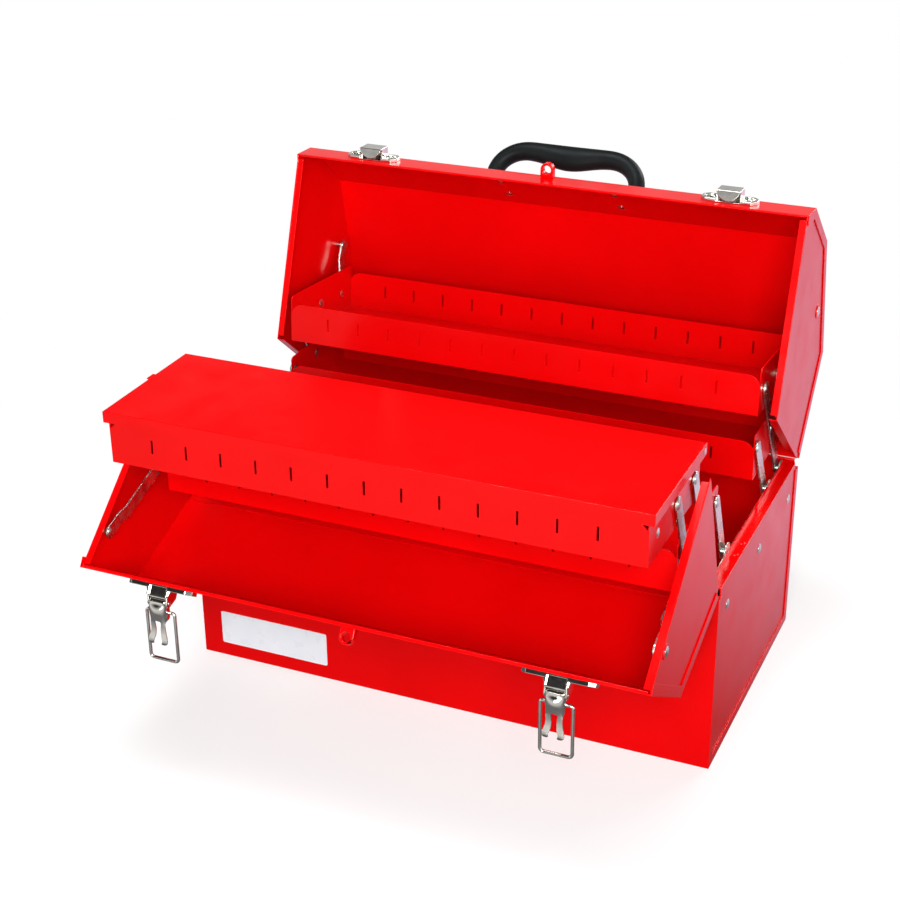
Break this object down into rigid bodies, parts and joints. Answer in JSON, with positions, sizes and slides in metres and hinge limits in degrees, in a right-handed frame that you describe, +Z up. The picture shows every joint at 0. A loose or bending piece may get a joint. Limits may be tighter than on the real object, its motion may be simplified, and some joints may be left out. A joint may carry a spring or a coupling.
{
  "type": "cantilever tool box",
  "caption": "Steel cantilever tool box, standing open: a hip-roofed lid split in two, four trays on parallel arms, a hinged tray cover, two draw latches and a carrying handle.",
  "frame": {"origin": "middle of the case's underside, on the surface that it stands on", "axes": "+X to the right along the box, -Y out of its front, +Z up"},
  "size_m": [0.4588, 0.4831, 0.4038],
  "materials": {
    "red_paint": "gloss enamel",
    "zinc_plate": "bright zinc plate",
    "nickel_plate": "bright nickel plate",
    "black_grip": "satin moulded",
    "white_label": "plain printed film"
  },
  "bodies": {
    "case": {"case_wrap": "red_paint", "case_end_left": "red_paint", "case_end_right": "red_paint", "arm_rail_left": "zinc_plate", "arm_rail_right": "zinc_plate", "rail_rivets": "zinc_plate", "pivot_rivets": "zinc_plate", "case_leaf_front": "red_paint", "case_leaf_rear": "red_paint", "hinge_pin_front": "zinc_plate", "hinge_pin_rear": "zinc_plate", "label": "white_label"},
    "front_lid": {"front_lid_wrap": "red_paint", "front_lid_end_left": "red_paint", "front_lid_end_right": "red_paint", "front_lid_leaf": "red_paint", "front_lid_rivets": "zinc_plate", "front_hasp_eye": "red_paint", "latch_base_left": "nickel_plate", "latch_base_right": "nickel_plate"},
    "rear_lid": {"rear_lid_wrap": "red_paint", "rear_lid_end_left": "red_paint", "rear_lid_end_right": "red_paint", "rear_lid_leaf": "red_paint", "rear_lid_rivets": "zinc_plate", "rear_hasp_eye": "red_paint", "catch_left": "nickel_plate", "catch_right": "nickel_plate", "handle": "black_grip"},
    "latch_lever_left": {"latch_lever_left": "nickel_plate"},
    "latch_lever_right": {"latch_lever_right": "nickel_plate"},
    "latch_bail_left": {"latch_bail_left": "nickel_plate"},
    "latch_bail_right": {"latch_bail_right": "nickel_plate"},
    "front_link_left": {"front_link_left": "zinc_plate"},
    "front_link_right": {"front_link_right": "zinc_plate"},
    "rear_link_left": {"rear_link_left": "zinc_plate"},
    "rear_link_right": {"rear_link_right": "zinc_plate"},
    "tray_cover": {"tray_cover": "red_paint"},
    "front_upper_tray": {"front_upper_tray": "red_paint", "front_upper_rivets": "zinc_plate"},
    "front_lower_tray": {"front_lower_tray": "red_paint", "front_lower_rivets": "zinc_plate"},
    "rear_upper_tray": {"rear_upper_tray": "red_paint", "rear_upper_rivets": "zinc_plate"},
    "rear_lower_tray": {"rear_lower_tray": "red_paint", "rear_lower_rivets": "zinc_plate"},
    "front_long_arm_left": {"front_long_arm_left": "zinc_plate"},
    "front_long_arm_right": {"front_long_arm_right": "zinc_plate"},
    "front_case_arm_left": {"front_case_arm_left": "zinc_plate"},
    "front_case_arm_right": {"front_case_arm_right": "zinc_plate"},
    "front_tray_arm_left": {"front_tray_arm_left": "zinc_plate"},
    "front_tray_arm_right": {"front_tray_arm_right": "zinc_plate"},
    "rear_long_arm_left": {"rear_long_arm_left": "zinc_plate"},
    "rear_long_arm_right": {"rear_long_arm_right": "zinc_plate"},
    "rear_case_arm_left": {"rear_case_arm_left": "zinc_plate"},
    "rear_case_arm_right": {"rear_case_arm_right": "zinc_plate"},
    "rear_tray_arm_left": {"rear_tray_arm_left": "zinc_plate"},
    "rear_tray_arm_right": {"rear_tray_arm_right": "zinc_plate"}
  },
  "joints": [
    {"name": "front_lid_hinge", "type": "hinge", "parent": "case", "child": "front_lid", "pos_m": [0, -0.1214, 0.16], "axis": [1, 0, 0], "range_deg": [-109.7, 0]},
    {"name": "front_long_arm_pivot_left", "type": "hinge", "parent": "case", "child": "front_long_arm_left", "pos_m": [-0.209, -0.105, 0.163], "axis": [1, 0, 0], "range_deg": [-75.5, 0]},
    {"name": "front_case_arm_pivot_left", "type": "hinge", "parent": "case", "child": "front_case_arm_left", "pos_m": [-0.209, -0.0635, 0.163], "axis": [1, 0, 0], "range_deg": [-75.5, 0]},
    {"name": "front_long_arm_pivot_right", "type": "hinge", "parent": "case", "child": "front_long_arm_right", "pos_m": [0.209, -0.105, 0.163], "axis": [1, 0, 0], "range_deg": [-75.5, 0]},
    {"name": "front_case_arm_pivot_right", "type": "hinge", "parent": "case", "child": "front_case_arm_right", "pos_m": [0.209, -0.0635, 0.163], "axis": [1, 0, 0], "range_deg": [-75.5, 0]},
    {"name": "front_lower_tray_pivot", "type": "hinge", "parent": "front_long_arm_right", "child": "front_lower_tray", "pos_m": [0, -0.12988, 0.2176], "axis": [1, 0, 0], "range_deg": [0, 75.5]},
    {"name": "front_upper_tray_pivot", "type": "hinge", "parent": "front_long_arm_right", "child": "front_upper_tray", "pos_m": [0, -0.15269, 0.26765], "axis": [1, 0, 0], "range_deg": [0, 75.5]},
    {"name": "front_tray_arm_pivot_left", "type": "hinge", "parent": "front_lower_tray", "child": "front_tray_arm_left", "pos_m": [-0.209, -0.17138, 0.2176], "axis": [1, 0, 0], "range_deg": [-75.5, 0]},
    {"name": "front_link_pivot_left", "type": "hinge", "parent": "front_lid", "child": "front_link_left", "pos_m": [-0.209, -0.25706, 0.18705], "axis": [1, 0, 0], "range_deg": [-33.27, 0]},
    {"name": "front_tray_arm_pivot_right", "type": "hinge", "parent": "front_lower_tray", "child": "front_tray_arm_right", "pos_m": [0.209, -0.17138, 0.2176], "axis": [1, 0, 0], "range_deg": [-75.5, 0]},
    {"name": "front_link_pivot_right", "type": "hinge", "parent": "front_lid", "child": "front_link_right", "pos_m": [0.209, -0.25706, 0.18705], "axis": [1, 0, 0], "range_deg": [-33.27, 0]},
    {"name": "rear_lid_hinge", "type": "hinge", "parent": "case", "child": "rear_lid", "pos_m": [0, 0.1214, 0.16], "axis": [-1, 0, 0], "range_deg": [-40.1, 0]},
    {"name": "rear_long_arm_pivot_left", "type": "hinge", "parent": "case", "child": "rear_long_arm_left", "pos_m": [-0.209, 0.105, 0.158], "axis": [-1, 0, 0], "range_deg": [-20, 0]},
    {"name": "rear_case_arm_pivot_left", "type": "hinge", "parent": "case", "child": "rear_case_arm_left", "pos_m": [-0.209, 0.0635, 0.158], "axis": [-1, 0, 0], "range_deg": [-20, 0]},
    {"name": "rear_long_arm_pivot_right", "type": "hinge", "parent": "case", "child": "rear_long_arm_right", "pos_m": [0.209, 0.105, 0.158], "axis": [-1, 0, 0], "range_deg": [-20, 0]},
    {"name": "rear_case_arm_pivot_right", "type": "hinge", "parent": "case", "child": "rear_case_arm_right", "pos_m": [0.209, 0.0635, 0.158], "axis": [-1, 0, 0], "range_deg": [-20, 0]},
    {"name": "rear_lower_tray_pivot", "type": "hinge", "parent": "rear_long_arm_right", "child": "rear_lower_tray", "pos_m": [0, 0.0741, 0.20943], "axis": [-1, 0, 0], "range_deg": [0, 20]},
    {"name": "rear_upper_tray_pivot", "type": "hinge", "parent": "rear_long_arm_right", "child": "rear_upper_tray", "pos_m": [0, 0.04577, 0.25657], "axis": [-1, 0, 0], "range_deg": [0, 15]},
    {"name": "rear_tray_arm_pivot_left", "type": "hinge", "parent": "rear_lower_tray", "child": "rear_tray_arm_left", "pos_m": [-0.209, 0.10417, 0.20943], "axis": [-1, 0, 0], "range_deg": [-20.66, 0]},
    {"name": "rear_link_pivot_left", "type": "hinge", "parent": "rear_lid", "child": "rear_link_left", "pos_m": [-0.209, 0.15324, 0.28615], "axis": [-1, 0, 0], "range_deg": [-8.23, 0]},
    {"name": "rear_tray_arm_pivot_right", "type": "hinge", "parent": "rear_lower_tray", "child": "rear_tray_arm_right", "pos_m": [0.209, 0.10417, 0.20943], "axis": [-1, 0, 0], "range_deg": [-20.66, 0]},
    {"name": "rear_link_pivot_right", "type": "hinge", "parent": "rear_lid", "child": "rear_link_right", "pos_m": [0.209, 0.15324, 0.28615], "axis": [-1, 0, 0], "range_deg": [-8.23, 0]},
    {"name": "tray_cover_hinge", "type": "hinge", "parent": "front_upper_tray", "child": "tray_cover", "pos_m": [0, -0.14143, 0.28515], "axis": [-1, 0, 0], "range_deg": [0, 90]},
    {"name": "latch_lever_pivot_left", "type": "hinge", "parent": "front_lid", "child": "latch_lever_left", "pos_m": [-0.16, -0.28762, 0.15481], "axis": [-1, 0, 0], "range_deg": [-58, 70]},
    {"name": "latch_bail_pivot_left", "type": "hinge", "parent": "latch_lever_left", "child": "latch_bail_left", "pos_m": [-0.16, -0.28702, 0.14631], "axis": [1, 0, 0], "range_deg": [-165, 15]},
    {"name": "latch_lever_pivot_right", "type": "hinge", "parent": "front_lid", "child": "latch_lever_right", "pos_m": [0.16, -0.28762, 0.15481], "axis": [-1, 0, 0], "range_deg": [-58, 70]},
    {"name": "latch_bail_pivot_right", "type": "hinge", "parent": "latch_lever_right", "child": "latch_bail_right", "pos_m": [0.16, -0.28702, 0.14631], "axis": [1, 0, 0], "range_deg": [-165, 15]}
  ],
  "couplings": [
    {"joint": "front_long_arm_pivot_left", "follows": "front_lid_hinge", "ratio": 0.68368},
    {"joint": "front_case_arm_pivot_left", "follows": "front_lid_hinge", "ratio": 0.68368},
    {"joint": "front_long_arm_pivot_right", "follows": "front_lid_hinge", "ratio": 0.68368},
    {"joint": "front_case_arm_pivot_right", "follows": "front_lid_hinge", "ratio": 0.68368},
    {"joint": "front_lower_tray_pivot", "follows": "front_lid_hinge", "ratio": -0.68368},
    {"joint": "front_upper_tray_pivot", "follows": "front_lid_hinge", "ratio": -0.68368},
    {"joint": "front_tray_arm_pivot_left", "follows": "front_lid_hinge", "ratio": 0.68368},
    {"joint": "front_link_pivot_left", "follows": "front_lid_hinge", "ratio": 0.29875},
    {"joint": "front_tray_arm_pivot_right", "follows": "front_lid_hinge", "ratio": 0.68368},
    {"joint": "front_link_pivot_right", "follows": "front_lid_hinge", "ratio": 0.29875},
    {"joint": "rear_long_arm_pivot_left", "follows": "rear_lid_hinge", "ratio": 0.48628},
    {"joint": "rear_case_arm_pivot_left", "follows": "rear_lid_hinge", "ratio": 0.48628},
    {"joint": "rear_long_arm_pivot_right", "follows": "rear_lid_hinge", "ratio": 0.48628},
    {"joint": "rear_case_arm_pivot_right", "follows": "rear_lid_hinge", "ratio": 0.48628},
    {"joint": "rear_lower_tray_pivot", "follows": "rear_lid_hinge", "ratio": -0.48628},
    {"joint": "rear_upper_tray_pivot", "follows": "rear_lid_hinge", "ratio": -0.3616},
    {"joint": "rear_tray_arm_pivot_left", "follows": "rear_lid_hinge", "ratio": 0.50266},
    {"joint": "rear_link_pivot_left", "follows": "rear_lid_hinge", "ratio": 0.19273},
    {"joint": "rear_tray_arm_pivot_right", "follows": "rear_lid_hinge", "ratio": 0.50266},
    {"joint": "rear_link_pivot_right", "follows": "rear_lid_hinge", "ratio": 0.19273}
  ]
}
